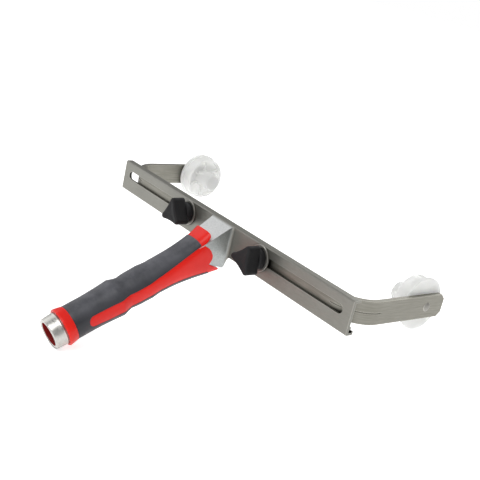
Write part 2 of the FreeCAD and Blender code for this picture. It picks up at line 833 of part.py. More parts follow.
def build_knob(name, side):
    """Three-lobed knob: a round skirt against the washer and a head with a bevelled crown."""
    body = new_body(f"{name}_knob", knob_frame(name, side))

    profile = new_sketch(body, f"{name}_knob_profile", "XZ_Plane")
    outline(profile, [
        ("0", "0"),
        ("Sizes.knob_skirt_radius", "0"),
        ("Sizes.knob_skirt_radius", "Sizes.knob_skirt - Sizes.knob_skirt_round"),
        ("Sizes.knob_skirt_radius - Sizes.knob_skirt_round", "Sizes.knob_skirt"),
        ("0", "Sizes.knob_skirt"),
    ])
    revolve(body, profile)

    head = new_sketch(body, f"{name}_knob_head", "XY_Plane")
    head.setExpression(".AttachmentOffset.Base.z", "Sizes.knob_skirt")
    draw_knob_head(head)
    block = pad(body, head, "Sizes.knob_depth - Sizes.knob_skirt")
    crown = body.newObject("PartDesign::Chamfer", f"{name}_knob_crown")
    crown.Base = (block, rim_edges(block.Shape, size("knob_depth")))
    crown.setExpression("Size", "Sizes.knob_crown")
    doc.recompute()

    recess = new_sketch(body, f"{name}_insert_recess", "XY_Plane")
    circle(recess, "0", "0", "Sizes.insert_radius + 0.02")
    pocket(body, recess, "Sizes.insert_start + Sizes.insert_length + 2", backward=True)
    return body


def build_insert(name, side):
    """Steel nut moulded into the knob."""
    body = new_body(f"{name}_knob_insert", knob_frame(name, side))
    ring = new_sketch(body, f"{name}_insert_ring", "XY_Plane")
    ring.setExpression(".AttachmentOffset.Base.z", "Sizes.insert_start")
    circle(ring, "0", "0", "Sizes.insert_radius")
    circle(ring, "0", "0", "Sizes.insert_bore")
    pad(body, ring, "Sizes.insert_length")
    return body


# Hub, its shoulder rivet, thrust washer and clip.


def build_axle(name, side):
    """Shoulder rivet through the arm: low domed head outside, plain shank through the hub."""
    body = new_body(f"{name}_hub_axle", hub_frame(name, side, 0.0))
    dome = "(Sizes.axle_head_radius ^ 2 + Sizes.axle_head_height ^ 2) / (2 * Sizes.axle_head_height)"
    start = "Sizes.arm_thickness + Sizes.thrust_thickness + 3 * Sizes.hub_gap"
    end = f"{start} + Sizes.boss_end - Sizes.cap_recess + Sizes.axle_tail"
    profile = new_sketch(body, f"{name}_axle_profile", "XZ_Plane")
    outline(profile, [
        ("0", "-Sizes.axle_head_height", dome),
        ("Sizes.axle_head_radius", "0"),
        ("Sizes.axle_radius", "0"),
        ("Sizes.axle_radius", f"{end} - 0.6"),
        ("Sizes.axle_radius - 0.6", end),
        ("0", end),
    ])
    revolve(body, profile)
    return body


def build_thrust_washer(name, side):
    inward = size("arm_thickness") + size("hub_gap") / 2
    body = new_body(f"{name}_thrust_washer", hub_frame(name, side, inward))
    ring = new_sketch(body, f"{name}_thrust_ring", "XY_Plane")
    circle(ring, "0", "0", "Sizes.thrust_radius")
    circle(ring, "0", "0", "Sizes.thrust_bore")
    pad(body, ring, "Sizes.thrust_thickness")
    return body


def build_hub(name, side):
    """The end piece that the roller's core is pushed over: flange, ribbed drum and a long bearing boss
    with a recess in its end."""
    inward = size("arm_thickness") + size("thrust_thickness") + 2 * size("hub_gap")
    body = new_body(f"{name}_hub", hub_frame(name, side, inward))
    lead = "Sizes.drum_lead"
    bend = "Sizes.flange_round"

    profile = new_sketch(body, f"{name}_hub_profile", "XZ_Plane")
    outline(profile, [
        ("Sizes.hub_bore", "0"),
        (f"Sizes.flange_radius - {bend}", "0", bend),
        ("Sizes.flange_radius", bend),
        ("Sizes.flange_radius", f"Sizes.flange_thickness - {bend}", bend),
        (f"Sizes.flange_radius - {bend}", "Sizes.flange_thickness"),
        ("Sizes.drum_radius", "Sizes.flange_thickness"),
        ("Sizes.drum_radius", "Sizes.drum_end", lead),
        (f"Sizes.drum_radius - {lead}", f"Sizes.drum_end + {lead}"),
        ("Sizes.drum_radius - Sizes.drum_wall", f"Sizes.drum_end + {lead}"),
        ("Sizes.drum_radius - Sizes.drum_wall", "Sizes.web_end"),
        ("Sizes.boss_radius", "Sizes.web_end"),
        ("Sizes.boss_radius", "Sizes.boss_end - Sizes.boss_round", "Sizes.boss_round"),
        ("Sizes.boss_radius - Sizes.boss_round", "Sizes.boss_end"),
        ("Sizes.cap_radius + 0.02", "Sizes.boss_end"),
        ("Sizes.cap_radius + 0.02", "Sizes.boss_end - Sizes.cap_recess"),
        ("Sizes.hub_bore", "Sizes.boss_end - Sizes.cap_recess"),
    ])
    revolve(body, profile)

    rib = new_sketch(body, f"{name}_rib", "XY_Plane")
    rib.setExpression(".AttachmentOffset.Base.z", "Sizes.web_end - 0.5")
    rectangle(rib, "Sizes.boss_radius - 1", "-Sizes.rib_thickness / 2",
              "Sizes.drum_radius - Sizes.drum_wall + 0.5", "Sizes.rib_thickness / 2")
    rib_pad = pad(body, rib, "Sizes.drum_end - Sizes.web_end")
    repeat_round(body, rib_pad, "Sizes.rib_count")
    return body


def build_cap(name, side):
    """Nylon disc pressed into the boss to close it."""
    face = size("arm_thickness") + size("thrust_thickness") + 2 * size("hub_gap") + size("boss_end")
    body = new_body(f"{name}_hub_cap", hub_frame(name, side, face - size("cap_thickness")))
    disc = new_sketch(body, f"{name}_cap_disc", "XY_Plane")
    circle(disc, "0", "0", "Sizes.cap_radius")
    pad(body, disc, "Sizes.cap_thickness")
    return body


def build_clip(name, side):
    """Slit push-on clip that keeps the hub on its rivet, down in the boss's recess."""
    inward = size("arm_thickness") + size("thrust_thickness") + 3 * size("hub_gap")
    inward += size("boss_end") - size("cap_recess")
    body = new_body(f"{name}_hub_clip", hub_frame(name, side, inward))
    ring = new_sketch(body, f"{name}_clip_ring", "XY_Plane")
    circle(ring, "0", "0", "Sizes.clip_radius")
    circle(ring, "0", "0", "Sizes.clip_bore")
    pad(body, ring, "Sizes.clip_thickness")

    slit = new_sketch(body, f"{name}_clip_slit", "XY_Plane")
    half = "Sizes.clip_slot / 2"
    rectangle(slit, "Sizes.clip_bore - 0.5", f"-{half}", "Sizes.clip_radius - 1", half)
    slit_cut = pocket(body, slit, "Sizes.clip_thickness", backward=True)
    repeat_round(body, slit_cut, "3")
    return body


# The whole frame.


def build_side(name, side):
    return [
        build_arm(name, side),
        build_stud(name, side),
        build_clamp_washer(name, side),
        build_knob(name, side),
        build_insert(name, side),
        build_axle(name, side),
        build_thrust_washer(name, side),
        build_hub(name, side),
        build_cap(name, side),
        build_clip(name, side),
    ]


def check_document(parts):
    """Stops on any failed feature, and on any sub-part that isn't one or more valid solids."""
    for item in doc.Objects:
        if "Invalid" in item.State or "Error" in item.State:
            raise RuntimeError(f"{item.Label} failed: {item.State}")
    for part in parts:
        shape = part.Shape
        if shape.isNull() or not shape.isValid() or not shape.Solids:
            raise RuntimeError(f"{part.Label} has no valid solid")


def write_parts(parts):
    os.makedirs("parts", exist_ok=True)
    for part in parts:
        part.Shape.exportStep(os.path.join("parts", f"{part.Label}.step"))
        print(f"{part.Label}: {len(part.Shape.Solids)} solid, {part.Shape.Volume / 1000:.2f} cm3")


fill_sheet()
head = build_head()
core, sleeve = build_handle(head)
parts = [head, core, sleeve, build_ferrule()]
parts += build_side("left", LEFT)
parts += build_side("right", RIGHT)
doc.recompute()
check_document(parts)
write_parts(parts)
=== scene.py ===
"""Looks of an adjustable-width two-arm paint roller frame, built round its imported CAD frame.

Pieces are sized in millimetres until a point is placed, and every point is placed in the part's frame.
Materials, lights and the camera are in metres.
"""

import math

import bmesh
import bpy
from mathutils import Matrix, Vector


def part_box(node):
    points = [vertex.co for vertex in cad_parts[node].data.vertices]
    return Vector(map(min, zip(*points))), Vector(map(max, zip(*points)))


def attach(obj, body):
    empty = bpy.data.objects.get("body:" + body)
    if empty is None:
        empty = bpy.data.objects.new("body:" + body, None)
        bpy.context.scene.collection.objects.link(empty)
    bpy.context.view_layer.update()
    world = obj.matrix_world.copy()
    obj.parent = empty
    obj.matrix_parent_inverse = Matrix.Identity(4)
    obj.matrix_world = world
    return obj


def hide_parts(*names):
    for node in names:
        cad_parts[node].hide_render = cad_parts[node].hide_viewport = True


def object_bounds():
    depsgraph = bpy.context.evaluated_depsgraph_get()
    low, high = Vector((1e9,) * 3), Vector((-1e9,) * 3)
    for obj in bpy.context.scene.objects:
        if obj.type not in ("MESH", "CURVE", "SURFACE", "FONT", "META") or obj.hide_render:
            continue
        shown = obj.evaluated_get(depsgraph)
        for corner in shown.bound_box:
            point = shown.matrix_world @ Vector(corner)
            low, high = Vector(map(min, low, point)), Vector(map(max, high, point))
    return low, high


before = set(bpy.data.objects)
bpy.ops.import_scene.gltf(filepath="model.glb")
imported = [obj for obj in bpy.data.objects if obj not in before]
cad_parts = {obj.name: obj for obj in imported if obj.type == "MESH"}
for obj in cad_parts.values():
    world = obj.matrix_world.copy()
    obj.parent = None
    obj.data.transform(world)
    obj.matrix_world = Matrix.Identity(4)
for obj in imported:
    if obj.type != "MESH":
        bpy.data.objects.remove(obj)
CAD_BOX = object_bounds()

MM = 0.001
SIDES = ("left", "right")

# Treatment of CAD meshes.
WELD_DISTANCE = 2e-6  # metres: points nearer than this are one point
FLAT_ANGLE = math.radians(0.6)
CREASE_ANGLE = math.radians(28.0)

# Handle, in its own frame: s runs from the socket's mouth along the axis, up is across it.
TILT = math.radians(26.0)
GRIP_START = 17.8
GRIP_RADIUS = 13.7
GRIP_END = 134.5
HOOD_FRONT = 145.2
RIDGES = ((58.0, 1.5), (84.0, 0.5))
RIDGE_CLIMB = 26.0
RIDGE_FALL = 8.0
RIDGE_HOLLOW = 0.4  # share of the ridge's rise
RIDGE_CLIMB_POWER = 1.6
RIDGE_FALL_POWER = 1.3
FLARE_START = 95.0
FLARE_PINCH = 1.3
HOOD_RISE = 4.6
HOOD_POWER = 4.5
BEAK_DROP = 6.6
BEAK_POWER = 1.5
ROUND_POWER = 2  # exponent of a round cross-section
SQUARE_GAIN = 2.4  # how much squarer it is at the front
SQUARE_POWER = 2.2
SLEEVE_DEPTH = 2.3
SLEEVE_GAP = 0.1
SLEEVE_ROUND = 0.45
CORE_ROUND = 0.5
PANEL_RECESS = 0.25
WINDOW_TIP = 33.0
WINDOW_TIP_RADIUS = 4.7
SLEEVE_CORNER = 1.4
BEAK_EDGE = 2.4
SOCKET_RADIUS = 9.6
SOCKET_TUBE = 10.3
SOCKET_GAP = 0.1
SOCKET_DEPTH = 46.0
THREAD_PITCH = 5.08
THREAD_DEPTH = 1.3
THREAD_START = 1.5
THREAD_END = SOCKET_DEPTH - 3.0
THREAD_AROUND = 72
THREAD_STATIONS = 110

# Window edges and the core's front edge, as (s, up) and (up, s) corners.
WINDOW_TOP = ((33.0, 4.7), (82.5, 4.9), (103.5, 6.8), (120.5, 9.2), (134.5, 11.6))
WINDOW_LOW = ((33.0, -4.7), (46.0, -6.0), (94.5, -6.1), (114.5, -8.6), (134.5, -13.8))
CORE_FRONT = ((-18.8, 144.4), (-16.2, 145.2), (-7.4, 136.8), (-4.2, 140.6), (-1.2, 141.9), (3.5, 141.4),
              (7.2, 140.0), (10.7, 137.2), (14.5, 144.0), (16.5, 145.2))


# Mesh helpers.


def finish_mesh(name, bm, material, body, stands_for=(), smooth=35.0):
    """Turns a bmesh in metres into a shaded piece that rides on a body."""
    bmesh.ops.recalc_face_normals(bm, faces=bm.faces)
    for face in bm.faces:
        face.smooth = True
    for edge in bm.edges:
        edge.smooth = len(edge.link_faces) == 2 and edge.calc_face_angle() < math.radians(smooth)
    mesh = bpy.data.meshes.new(name)
    bm.to_mesh(mesh)
    bm.free()
    piece = bpy.data.objects.new(name, mesh)
    bpy.context.scene.collection.objects.link(piece)
    mesh.materials.append(material)
    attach(piece, body)
    if stands_for:
        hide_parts(*stands_for)
    return piece


def round_edges(bm, edges, width):
    bmesh.ops.bevel(bm, geom=edges, offset=width * MM, segments=3, profile=0.5,
                    affect="EDGES", clamp_overlap=True)


def weigh_normals(piece):
    normals = piece.modifiers.new("normals", "WEIGHTED_NORMAL")
    normals.keep_sharp = True


def soften_node(node, material, width):
    """Gives a CAD node its material, and slightly rounded edges."""
    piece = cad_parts[node]
    piece.data.materials.clear()
    piece.data.materials.append(material)
    weld = piece.modifiers.new("weld", "WELD")
    weld.merge_threshold = WELD_DISTANCE
    flat = piece.modifiers.new("flat", "DECIMATE")
    flat.decimate_type = "DISSOLVE"
    flat.angle_limit = FLAT_ANGLE
    bevel = piece.modifiers.new("bevel", "BEVEL")
    bevel.width = width * MM
    bevel.segments = 2
    bevel.limit_method = "ANGLE"
    bevel.angle_limit = CREASE_ANGLE
    bevel.harden_normals = False
    for polygon in piece.data.polygons:
        polygon.use_smooth = True
    weigh_normals(piece)


def shade_flat(piece, above):
    """Keeps the shading of each face larger than so many square millimetres its own."""
    edges = {tuple(sorted(edge.vertices)): edge for edge in piece.data.edges}
    for polygon in piece.data.polygons:
        if polygon.area > above * MM * MM:
            polygon.use_smooth = False
            for key in polygon.edge_keys:
                edges[tuple(sorted(key))].use_edge_sharp = True


def rounded_copy(node, name, material, body, width, flat_above):
    """Stands for a CAD node: the same faces made whole, with their sharp edges rounded."""
    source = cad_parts[node]
    bm = bmesh.new()
    bm.from_mesh(source.data)
    bm.transform(source.matrix_world)
    bmesh.ops.remove_doubles(bm, verts=bm.verts, dist=WELD_DISTANCE)
    bmesh.ops.dissolve_limit(bm, angle_limit=FLAT_ANGLE, verts=bm.verts, edges=bm.edges)
    sharp = []
    for edge in bm.edges:
        if len(edge.link_faces) == 2 and edge.calc_face_angle() > CREASE_ANGLE:
            sharp.append(edge)
    round_edges(bm, sharp, width)
    piece = finish_mesh(name, bm, material, body, [node])
    shade_flat(piece, flat_above)
    weigh_normals(piece)


def join_rings(bm, low, high):
    """A band of four-sided faces between two rings of as many points."""
    around = len(low)
    for i in range(around):
        j = (i + 1) % around
        bm.faces.new((low[i], low[j], high[j], high[i]))


def arc(centre, radius, start, finish, steps):
    """Corners of a profile along an arc, angles in degrees."""
    corners = []
    for i in range(steps + 1):
        turn = math.radians(start + (finish - start) * i / steps)
        corners.append((centre[0] + radius * math.cos(turn), centre[1] + radius * math.sin(turn)))
    return corners


def through(corners, at):
    """Straight-line interpolation through sorted corners, held level past both ends."""
    if at <= corners[0][0]:
        return corners[0][1]
    for (x0, y0), (x1, y1) in zip(corners, corners[1:]):
        if at <= x1:
            return y0 + (y1 - y0) * (at - x0) / (x1 - x0)
    return corners[-1][1]


def curve_through(corners, at):
    """A smooth curve through the corners, with each corner's slope from its neighbours."""
    last = len(corners) - 1
    index = next((i for i in range(last) if at <= corners[i + 1][0]), last - 1)
    slopes = []
    for i in (index, index + 1):
        before, after = corners[max(i - 1, 0)], corners[min(i + 1, last)]
        slopes.append((after[1] - before[1]) / (after[0] - before[0]))
    (x0, y0), (x1, y1) = corners[index], corners[index + 1]
    gap = x1 - x0
    u = (at - x0) / gap
    rise = (2 * u ** 3 - 3 * u ** 2 + 1) * y0 + (3 * u ** 2 - 2 * u ** 3) * y1
    return rise + gap * ((u ** 3 - 2 * u ** 2 + u) * slopes[0] + (u ** 3 - u ** 2) * slopes[1])


# Handle surface.


def on_handle(x, s, up):
    y = s * math.cos(TILT) - up * math.sin(TILT)
    z = s * math.sin(TILT) + up * math.cos(TILT)
    return Vector((x, y, z)) * MM


def round_handle(bm, radius, turn, s):
    """A new point at a radius from the handle's axis."""
    return bm.verts.new(on_handle(radius * math.cos(turn), s, radius * math.sin(turn)))


def lathe(profile, segments=128):
    """A closed ring turned round the handle's axis from a profile of (radius, s) corners."""
    bm = bmesh.new()
    rings = []
    for radius, s in profile:
        rings.append([round_handle(bm, radius, 2 * math.pi * i / segments, s) for i in range(segments)])
    for low, high in zip(rings, rings[1:] + rings[:1]):
        join_rings(bm, low, high)
    return bm


def ridge(s, crest, rise):
    """A finger ridge: a slow climb, a quick fall and a shallow hollow in front of it."""
    hollow = RIDGE_HOLLOW * rise
    if s <= crest:
        return rise * max(0.0, 1 - (crest - s) / RIDGE_CLIMB) ** RIDGE_CLIMB_POWER
    drop = (s - crest) / RIDGE_FALL
    if drop <= 1:
        return rise * (1 - drop) ** RIDGE_FALL_POWER - hollow * math.sin(math.pi * drop / 2)
    return -hollow * max(0.0, 2 - drop) ** 2


def section(s):
    """Half width, rise, drop and squareness of the handle's cross-section."""
    flare = max(0.0, s - FLARE_START) / (HOOD_FRONT - FLARE_START)
    radius = GRIP_RADIUS + sum(ridge(s, crest, rise) for crest, rise in RIDGES)
    half_width = radius - FLARE_PINCH * flare
    rise = radius + HOOD_RISE * flare ** HOOD_POWER
    drop = radius + BEAK_DROP * flare ** BEAK_POWER
    return half_width, rise, drop, ROUND_POWER + SQUARE_GAIN * flare ** SQUARE_POWER


def handle_point(s, turn, inset):
    half_width, rise, drop, power = section(s)
    c, q = math.cos(turn), math.sin(turn)
    x = (half_width - inset) * math.copysign(abs(c) ** (2 / power), c)
    up = ((rise if q > 0 else drop) - inset) * math.copysign(abs(q) ** (2 / power), q)
    return on_handle(x, s, up)


def turn_at(s, up):
    """Where round the right flank the surface passes a height."""
    _, rise, drop, power = section(s)
    share = min(1.0, abs(up) / (rise if up > 0 else drop))
    return math.copysign(math.asin(share ** (power / 2)), up)


def height_at(s, turn):
    _, rise, drop, power = section(s)
    q = math.sin(turn)
    return (rise if q > 0 else drop) * math.copysign(abs(q) ** (2 / power), q)


def window(s):
    """Lower and upper edge of the window at a station, both zero behind its tip."""
    behind = WINDOW_TIP - s
    if behind >= WINDOW_TIP_RADIUS:
        return 0.0, 0.0
    if behind > 0:
        half = math.sqrt(WINDOW_TIP_RADIUS ** 2 - behind ** 2)
        return -half, half
    return curve_through(WINDOW_LOW, s), curve_through(WINDOW_TOP, s)


def spread(start, finish, count):
    return [start + (finish - start) * i / count for i in range(count + 1)]


BACK_STEPS = 7
TIP_STEPS = 7
WINDOW_STEPS = 70
FRONT_STEPS = 9
CROWN_ROWS = 30
CROWN_LENGTH = 36.0
ROW_HEIGHT = 1.3
BEND_FROM = 100.0
FRONT_SEARCH_STEPS = 12
TIP_START = WINDOW_TIP - WINDOW_TIP_RADIUS
STATIONS = spread(GRIP_START, TIP_START, BACK_STEPS)[:-1]
STATIONS += [WINDOW_TIP - WINDOW_TIP_RADIUS * math.cos(math.pi / 2 * i / TIP_STEPS) for i in range(TIP_STEPS)]
STATIONS += spread(WINDOW_TIP, GRIP_END, WINDOW_STEPS)


def crown_edge(share):
    """Where the sleeve ends over the top, with a rounded corner at each window."""
    inside = min(share, 1 - share) * CROWN_LENGTH
    gap = max(0.0, 1 - inside / SLEEVE_CORNER)
    return GRIP_END - SLEEVE_CORNER * (1 - math.sqrt(1 - gap * gap))


def keel_edge(share):
    return GRIP_END + BEAK_EDGE * (1 - (1 - 2 * share) ** 4)


def flank_shares():
    """Rows of the flank, as shares of the window's height, so that rows meet the core front's corners."""
    low, high = WINDOW_LOW[-1][1], WINDOW_TOP[-1][1]
    levels = [low] + [up for up, _ in CORE_FRONT if low < up < high] + [high]
    rows = []
    for start, finish in zip(levels, levels[1:]):
        rows += spread(start, finish, max(1, round((finish - start) / ROW_HEIGHT)))[:-1]
    return [(up - low) / (high - low) for up in rows + [high]]


def station(nominal, edge):
    """A station moved so that the last one lies on the sleeve's front edge."""
    if nominal <= BEND_FROM:
        return nominal
    return BEND_FROM + (edge - BEND_FROM) * (nominal - BEND_FROM) / (GRIP_END - BEND_FROM)


def flank_turn(s, share, edge):
    low, high = window(min(s, edge))
    return turn_at(s, low + (high - low) * share)


def flank_edge(share):
    return keel_edge(0) + (crown_edge(0) - keel_edge(0)) * share


def strip_turn(s, share, top):
    """Round the handle over the top or under the bottom, between the two windows' edges."""
    side = 1 if top else 0
    low = flank_turn(s, side, flank_edge(side))
    high = math.pi - low
    if not top:
        high -= 2 * math.pi
    return low + (high - low) * share


def front_of(turn_of, share):
    """The core's front edge along one row, found by stepping towards it."""
    s = HOOD_FRONT - 3.0
    for _ in range(FRONT_SEARCH_STEPS):
        s = through(CORE_FRONT, height_at(s, turn_of(s, share)))
    return s


def strip_rows(turn_of, edge_of, shares):
    """Grip and core rows of one strip. Each row is a list of (s, turn)."""
    grip, core = [], []
    for share in shares:
        edge = edge_of(share)
        stations = [station(s, edge) for s in STATIONS]
        grip.append([(s, turn_of(s, share)) for s in stations])
        front = front_of(turn_of, share)
        core.append([(s, turn_of(s, share)) for s in spread(edge, front, FRONT_STEPS)])
    return grip, core


def mirrored(rows):
    return [[(s, math.pi - turn) for s, turn in row] for row in rows]


def from_tip(rows):
    """Rows cut back to where the window starts."""
    first = sum(1 for s in STATIONS if s < TIP_START - 1e-6)
    return [row[first:] for row in rows]


def build_strips():
    """The handle's whole surface as strips: under the sleeve, and the core that shows."""
    shares = spread(0, 1, CROWN_ROWS)
    top_grip, top_core = strip_rows(lambda s, w: strip_turn(s, w, True), crown_edge, shares)
    low_grip, low_core = strip_rows(lambda s, w: strip_turn(s, w, False), keel_edge, shares)
    flank_grip, flank_core = strip_rows(lambda s, w: flank_turn(s, w, flank_edge(w)), flank_edge,
                                        flank_shares())
    panel = from_tip(flank_grip)
    covered = [top_grip, low_grip]
    shown = [top_core, low_core, panel, flank_core, mirrored(panel), mirrored(flank_core)]
    return covered, shown


def key_of(corner):
    s, turn = corner
    return round(s, 4), round(math.cos(turn), 6), round(math.sin(turn), 6)


class Skin:
    """Faces on the handle's surface, held by station and turn, at one or more depths."""

    def __init__(self):
        self.bm = bmesh.new()
        self.verts = {}

    def vert(self, corner, inset):
        key = key_of(corner) + (inset,)
        if key not in self.verts:
            self.verts[key] = self.bm.verts.new(handle_point(corner[0], corner[1], inset))
        return self.verts[key]

    def face(self, corners):
        distinct = list(dict.fromkeys(corners))
        if len(distinct) > 2 and self.bm.faces.get(distinct) is None:
            self.bm.faces.new(distinct)

    def sheet(self, strips, inset):
        for rows in strips:
            for low, high in zip(rows, rows[1:]):
                for i in range(len(low) - 1):
                    ring = (low[i], low[i + 1], high[i + 1], high[i])
                    self.face([self.vert(corner, inset) for corner in ring])

    def walls(self, edges, outer, inner):
        for first, second in edges:
            ring = [self.vert(first, outer), self.vert(second, outer),
                    self.vert(second, inner), self.vert(first, inner)]
            self.face(ring)


def rim_of(strips):
    """Edges that only one face of the strips uses, keyed by their ends."""
    count = {}
    for rows in strips:
        for low, high in zip(rows, rows[1:]):
            for i in range(len(low) - 1):
                ring = [low[i], low[i + 1], high[i + 1], high[i]]
                for first, second in zip(ring, ring[1:] + ring[:1]):
                    name = frozenset((key_of(first), key_of(second)))
                    if len(name) == 2:
                        count.setdefault(name, []).append((first, second))
    return {name: uses[0] for name, uses in count.items() if len(uses) == 1}


def edges_at(skin, rim, inset):
    found = []
    for first, second in rim:
        edge = skin.bm.edges.get((skin.vert(first, inset), skin.vert(second, inset)))
        if edge:
            found.append(edge)
    return found


def build_sleeve(covered, material):
    """Black grip: a shell with rounded rims round both windows and at both ends."""
    skin = Skin()
    rim = rim_of(covered)
    skin.sheet(covered, 0.0)
    inside = SLEEVE_DEPTH - SLEEVE_GAP
    skin.sheet(covered, inside)
    skin.walls(rim.values(), 0.0, inside)
    round_edges(skin.bm, edges_at(skin, rim.values(), 0.0), SLEEVE_ROUND)
    finish_mesh("grip_moulding", skin.bm, material, "frame", ["grip_sleeve"])


def close_front(skin, rim, inset):
    """Closes the core's front with faces that run straight across from flank to flank."""
    right = [edge for edge in rim if all(math.cos(turn) > -1e-6 for _, turn in edge)]
    right.sort(key=lambda edge: edge[0][1] + edge[1][1])
    for first, second in right:
        ring = [skin.vert(first, inset), skin.vert(second, inset),
                skin.vert((second[0], math.pi - second[1]), inset),
                skin.vert((first[0], math.pi - first[1]), inset)]
        skin.face(ring)


def turn_of_vert(vert):
    """Angle of a point round the handle's axis, from straight up."""
    return math.atan2(vert.co.x, vert.co.z * math.cos(TILT) - vert.co.y * math.sin(TILT))


def close_back(skin, rim, inset):
    """Closes the core's back with a flat ring, and a bore that the socket's tube fills."""
    bore = SOCKET_TUBE + SOCKET_GAP
    made = {}

    def bore_vert(turn, s):
        key = (round(math.cos(turn), 6), round(math.sin(turn), 6), s)
        if key not in made:
            made[key] = round_handle(skin.bm, bore, turn, s)
        return made[key]

    end = SOCKET_DEPTH + 1
    for first, second in rim:
        skin.face([skin.vert(first, inset), skin.vert(second, inset),
                   bore_vert(second[1], GRIP_START), bore_vert(first[1], GRIP_START)])
        skin.face([bore_vert(first[1], GRIP_START), bore_vert(second[1], GRIP_START),
                   bore_vert(second[1], end), bore_vert(first[1], end)])
    last = [vert for key, vert in made.items() if key[2] == end]
    last.sort(key=turn_of_vert)
    skin.bm.faces.new(last)


def build_core(covered, shown, material):
    """Red moulding: proud where it shows, stepped down under the sleeve."""
    skin = Skin()
    shown_rim = rim_of(shown)
    covered_rim = rim_of(covered)
    step = [edge for name, edge in shown_rim.items() if name in covered_rim]
    front = [edge for name, edge in shown_rim.items() if name not in covered_rim]
    back = [edge for name, edge in covered_rim.items() if name not in shown_rim]
    skin.sheet(shown, PANEL_RECESS)
    skin.sheet(covered, SLEEVE_DEPTH)
    skin.walls(step, PANEL_RECESS, SLEEVE_DEPTH)
    close_front(skin, front, PANEL_RECESS)
    close_back(skin, back, SLEEVE_DEPTH)
    front_edges = edges_at(skin, front, PANEL_RECESS)
    round_edges(skin.bm, front_edges, CORE_ROUND)
    finish_mesh("core_moulding", skin.bm, material, "frame", ["handle_core"])


def build_collar(material):
    profile = [(10.45, 10.2), (14.2, 10.2)]
    profile += arc((14.2, 11.0), 0.8, -90, 0, 4)
    profile += [(14.9, 12.0)]
    profile += arc((13.3, 17.1), 0.7, 20, 90, 4)
    profile += [(10.45, 17.8)]
    finish_mesh("collar", lathe(profile), material, "frame")


def thread_ridge(s, turn):
    """Height of the socket's thread at a place on its wall: a rounded ridge that winds in."""
    phase = (s / THREAD_PITCH - turn / (2 * math.pi)) % 1.0
    ridge_shape = min(1.0, max(0.0, 1.6 * math.cos(2 * math.pi * (phase - 0.5)) + 0.4))
    fade_in = min(1.0, max(0.0, (s - THREAD_START) / 3.5))
    fade_out = min(1.0, max(0.0, (THREAD_END - s) / 3.0))
    return THREAD_DEPTH * ridge_shape * (fade_in * fade_out)


def build_socket(material):
    """Threaded tube inside the ferrule and the core."""
    bm = bmesh.new()
    turns = [2 * math.pi * i / THREAD_AROUND for i in range(THREAD_AROUND)]
    inner = []
    outer = []
    for s in spread(0.5, SOCKET_DEPTH, THREAD_STATIONS):
        ring_in = []
        ring_out = []
        for turn in turns:
            ring_in.append(round_handle(bm, SOCKET_RADIUS - thread_ridge(s, turn), turn, s))
            ring_out.append(round_handle(bm, SOCKET_TUBE, turn, s))
        inner.append(ring_in)
        outer.append(ring_out)
    for rings in (inner, outer):
        for low, high in zip(rings, rings[1:]):
            join_rings(bm, low, high)
    join_rings(bm, inner[0], outer[0])
    join_rings(bm, inner[-1], outer[-1])
    finish_mesh("socket_thread", bm, material, "frame", smooth=50)


def build_ferrule(material):
    """Plated cap: rolled lip, slight barrel and a bead next to the collar."""
    profile = arc((10.4, 0.75), 0.75, 180, 270, 5)
    profile += arc((11.6, 0.8), 0.8, -90, 0, 5)
    profile += [(12.65, 3.0), (12.85, 6.0), (12.95, 8.0)]
    profile += arc((12.75, 8.9), 0.4, -40, 40, 3)
    profile += [(12.95, 9.7), (12.95, 10.15), (11.7, 10.15), (11.7, 1.7), (9.65, 1.7)]
    finish_mesh("ferrule_cap", lathe(profile), material, "frame", ["ferrule"])


# Knobs.

KNOB_LOBES = 3
KNOB_REACH = 12.8
KNOB_LOBE = 2.6
KNOB_HOLLOW = 50.0
KNOB_SKIRT = 8.7
KNOB_DEPTH = 17.6
KNOB_HEAD = 5.4
KNOB_BORE = 4.5
KNOB_BORE_DEPTH = 14.5
KNOB_AROUND = 150
KNOB_TURNS = {"left": math.radians(93), "right": math.radians(67.5)}


def lobe_radius(turn, shrink):
    """Outline of the knob's head: round lobes joined by slightly hollow sides."""
    pitch = 2 * math.pi / KNOB_LOBES
    off = abs((turn + pitch / 2) % pitch - pitch / 2)
    centre = KNOB_REACH - KNOB_LOBE
    half = centre * math.sin(pitch / 2)
    away = centre * math.cos(pitch / 2) + math.sqrt((KNOB_HOLLOW + KNOB_LOBE) ** 2 - half ** 2)
    share = KNOB_LOBE / (KNOB_HOLLOW + KNOB_LOBE)
    touch_x = centre + share * (away * math.cos(pitch / 2) - centre)
    touch_y = share * away * math.sin(pitch / 2)
    if off <= math.atan2(touch_y, touch_x):
        lobe = KNOB_LOBE - shrink
        return centre * math.cos(off) + math.sqrt(max(0.0, lobe ** 2 - (centre * math.sin(off)) ** 2))
    swing = pitch / 2 - off
    hollow = KNOB_HOLLOW + shrink
    return away * math.cos(swing) - math.sqrt(hollow ** 2 - (away * math.sin(swing)) ** 2)


def knob_rows():
    """Stations of the knob's side as (height, kind, shrink), back to front."""
    rows = [(0.0, "skirt", 0.6), (0.2, "skirt", 0.2), (0.6, "skirt", 0.0), (4.4, "skirt", 0.0),
            (5.0, "skirt", 0.25), (5.35, "skirt", 0.7)]
    rows += [(KNOB_HEAD, "head", 0.9), (KNOB_HEAD + 0.2, "head", 0.35), (KNOB_HEAD + 0.6, "head", 0.05)]
    rows += [(height, "head", 0.0) for height in spread(KNOB_HEAD + 1.4, KNOB_DEPTH - 2.0, 4)]
    rows += [(KNOB_DEPTH - 1.1, "head", 0.1), (KNOB_DEPTH - 0.6, "head", 0.35),
             (KNOB_DEPTH - 0.2, "head", 0.75), (KNOB_DEPTH, "head", 1.3)]
    return rows


